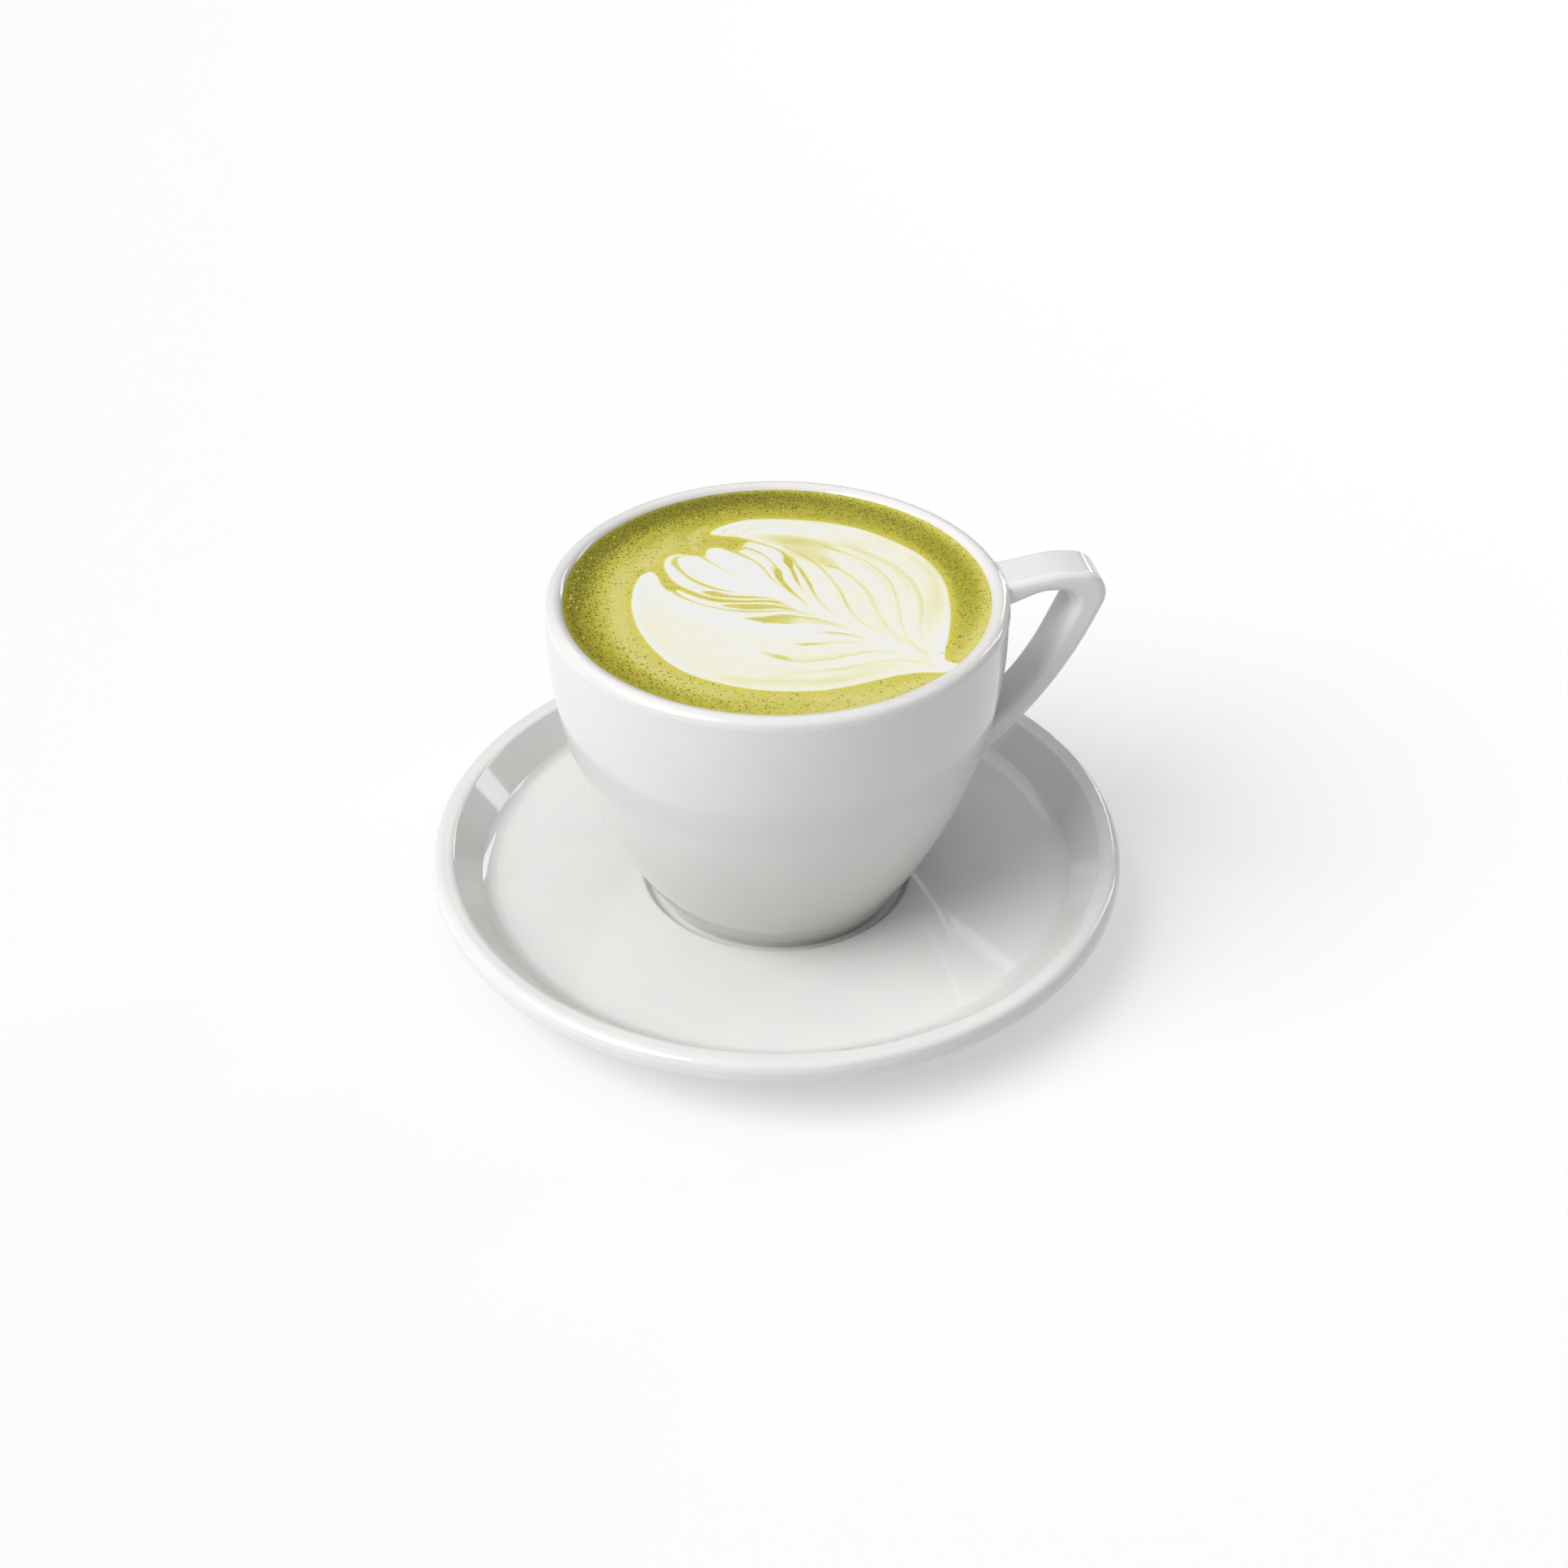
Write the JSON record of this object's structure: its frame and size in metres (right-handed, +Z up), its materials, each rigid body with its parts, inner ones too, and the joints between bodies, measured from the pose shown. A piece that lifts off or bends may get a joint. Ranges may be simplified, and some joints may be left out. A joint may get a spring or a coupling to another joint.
{
  "type": "matcha latte in a cup with saucer",
  "caption": "Foamed matcha latte with leaf art in a flared white porcelain cup with an angular handle, standing in the well of a round raised-lip saucer.",
  "frame": {"origin": "middle of the saucer's foot on the plane it stands on, on the axis shared by saucer and cup", "axes": "+Z up along the shared axis, +X towards the cup's handle, XZ the plane of symmetry"},
  "size_m": [0.152, 0.152, 0.0804],
  "materials": {
    "porcelain": "glossy transparent glaze over white porcelain",
    "matcha_foam": "moist fine foam, stands in for a drink"
  },
  "bodies": {
    "root": {"cup": "porcelain", "saucer": "porcelain", "drink": "matcha_foam"}
  },
  "joints": []
}
